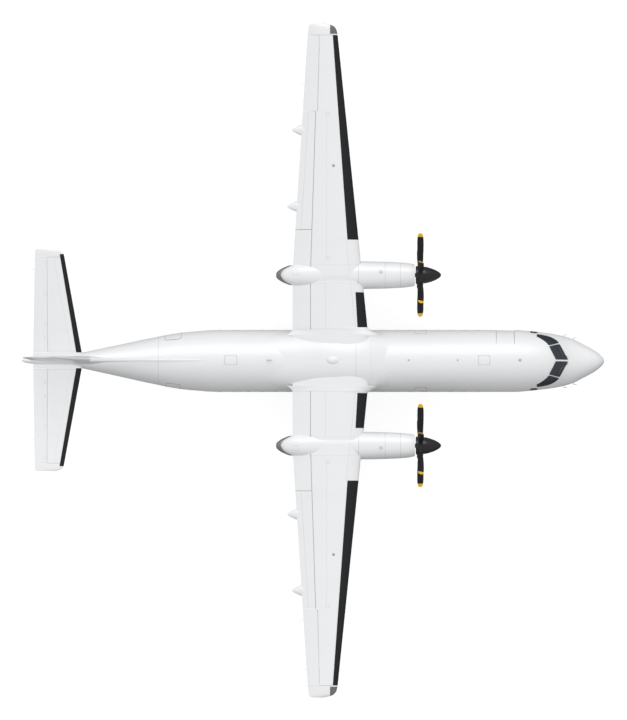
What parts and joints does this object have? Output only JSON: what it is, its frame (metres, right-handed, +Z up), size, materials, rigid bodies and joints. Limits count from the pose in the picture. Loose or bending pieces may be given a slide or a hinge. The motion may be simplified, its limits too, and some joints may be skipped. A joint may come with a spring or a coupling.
{
  "type": "turboprop airliner",
  "caption": "High-wing twin-turboprop regional airliner parked on its gear, with turning propellers and wheels, steering nose gear, airstair door and moving control surfaces.",
  "frame": {"origin": "centre of the bounding box at floor level, under the tyres", "axes": "+X towards the nose, +Y towards the left wing tip, +Z up"},
  "size_m": [25.1006, 29, 8.317],
  "materials": {
    "white_paint": "gloss white paint",
    "black_paint": "black paint with yellow blade tips",
    "bare_metal": "satin",
    "gear_grey": "grey gear paint",
    "tyre_rubber": "matt",
    "exhaust_metal": "heat-stained",
    "dark_metal": "matt"
  },
  "bodies": {
    "airframe": {"fuselage": "white_paint", "radome": "white_paint", "tail_cone": "white_paint", "wing_fairing": "white_paint", "wing_centre": "white_paint", "fin": "white_paint", "nose_leg": "gear_grey", "nose_doors": "white_paint", "crown_dome": "white_paint", "crown_aerial": "white_paint", "belly_aerial": "white_paint", "wing_left": "white_paint", "wing_right": "white_paint", "inner_flap_left": "white_paint", "inner_flap_right": "white_paint", "outer_flap_left": "white_paint", "outer_flap_right": "white_paint", "tailplane_left": "white_paint", "tailplane_right": "white_paint", "nacelle_left": "white_paint", "nacelle_right": "white_paint", "cowl_left": "white_paint", "cowl_right": "white_paint", "engine_left": "dark_metal", "engine_right": "dark_metal", "exhaust_left": "exhaust_metal", "exhaust_right": "exhaust_metal", "main_leg_left": "gear_grey", "main_leg_right": "gear_grey", "main_doors_left": "white_paint", "main_doors_right": "white_paint"},
    "nose_steering": {"nose_strut": "gear_grey"},
    "nose_wheel_pair": {"nose_wheels": "bare_metal", "nose_tyre_left": "tyre_rubber", "nose_tyre_right": "tyre_rubber"},
    "airstair": {"airstair_door": "white_paint"},
    "rudder_body": {"rudder": "white_paint"},
    "propeller_body_left": {"propeller_left": "black_paint", "spinner_left": "black_paint"},
    "main_wheel_pair_left": {"main_left_wheels": "bare_metal", "main_left_tyre_left": "tyre_rubber", "main_left_tyre_right": "tyre_rubber"},
    "aileron_body_left": {"aileron_left": "white_paint"},
    "elevator_body_left": {"elevator_left": "white_paint"},
    "propeller_body_right": {"propeller_right": "black_paint", "spinner_right": "black_paint"},
    "main_wheel_pair_right": {"main_right_wheels": "bare_metal", "main_right_tyre_left": "tyre_rubber", "main_right_tyre_right": "tyre_rubber"},
    "aileron_body_right": {"aileron_right": "white_paint"},
    "elevator_body_right": {"elevator_right": "white_paint"}
  },
  "joints": [
    {"name": "propeller_turn_left", "type": "hinge", "parent": "airframe", "child": "propeller_body_left", "pos_m": [4.6, 3.67, 2.99], "axis": [1, 0, 0], "continuous": true},
    {"name": "main_wheel_turn_left", "type": "hinge", "parent": "airframe", "child": "main_wheel_pair_left", "pos_m": [0.5, 3.67, 0.42928], "axis": [0, 1, 0], "continuous": true},
    {"name": "aileron_swing_left", "type": "hinge", "parent": "airframe", "child": "aileron_body_left", "pos_m": [0.1, 10.71, 3.40142], "axis": [0.0323, 0.9986, 0.042], "range_deg": [-20, 20]},
    {"name": "elevator_swing_left", "type": "hinge", "parent": "airframe", "child": "elevator_body_left", "pos_m": [-11.49, 0.36, 2.92784], "axis": [0, 0.9945, 0.1045], "range_deg": [-20, 25]},
    {"name": "propeller_turn_right", "type": "hinge", "parent": "airframe", "child": "propeller_body_right", "pos_m": [4.6, -3.67, 2.99], "axis": [1, 0, 0], "continuous": true},
    {"name": "main_wheel_turn_right", "type": "hinge", "parent": "airframe", "child": "main_wheel_pair_right", "pos_m": [0.5, -3.67, 0.42928], "axis": [0, 1, 0], "continuous": true},
    {"name": "aileron_swing_right", "type": "hinge", "parent": "airframe", "child": "aileron_body_right", "pos_m": [0.1, -10.71, 3.40142], "axis": [-0.0323, 0.9986, -0.042], "range_deg": [-20, 20]},
    {"name": "elevator_swing_right", "type": "hinge", "parent": "airframe", "child": "elevator_body_right", "pos_m": [-11.49, -0.36, 2.92784], "axis": [0, 0.9945, -0.1045], "range_deg": [-20, 25]},
    {"name": "rudder_swing", "type": "hinge", "parent": "airframe", "child": "rudder_body", "pos_m": [-11.35, 0, 3.45], "axis": [-0.1082, 0, 0.9941], "range_deg": [-30, 30]},
    {"name": "nose_steer", "type": "hinge", "parent": "airframe", "child": "nose_steering", "pos_m": [10.2, 0, 0.30239], "axis": [0, 0, 1], "range_deg": [-73, 73]},
    {"name": "nose_wheel_turn", "type": "hinge", "parent": "nose_steering", "child": "nose_wheel_pair", "pos_m": [10.2, 0, 0.30239], "axis": [0, 1, 0], "continuous": true},
    {"name": "airstair_swing", "type": "hinge", "parent": "airframe", "child": "airstair", "pos_m": [8.26, 1.15977, 1.22298], "axis": [-1, 0, 0], "range_deg": [0, 135]}
  ],
  "couplings": [
    {"joint": "aileron_swing_right", "follows": "aileron_swing_left", "ratio": -1},
    {"joint": "elevator_swing_right", "follows": "elevator_swing_left", "ratio": 1}
  ]
}
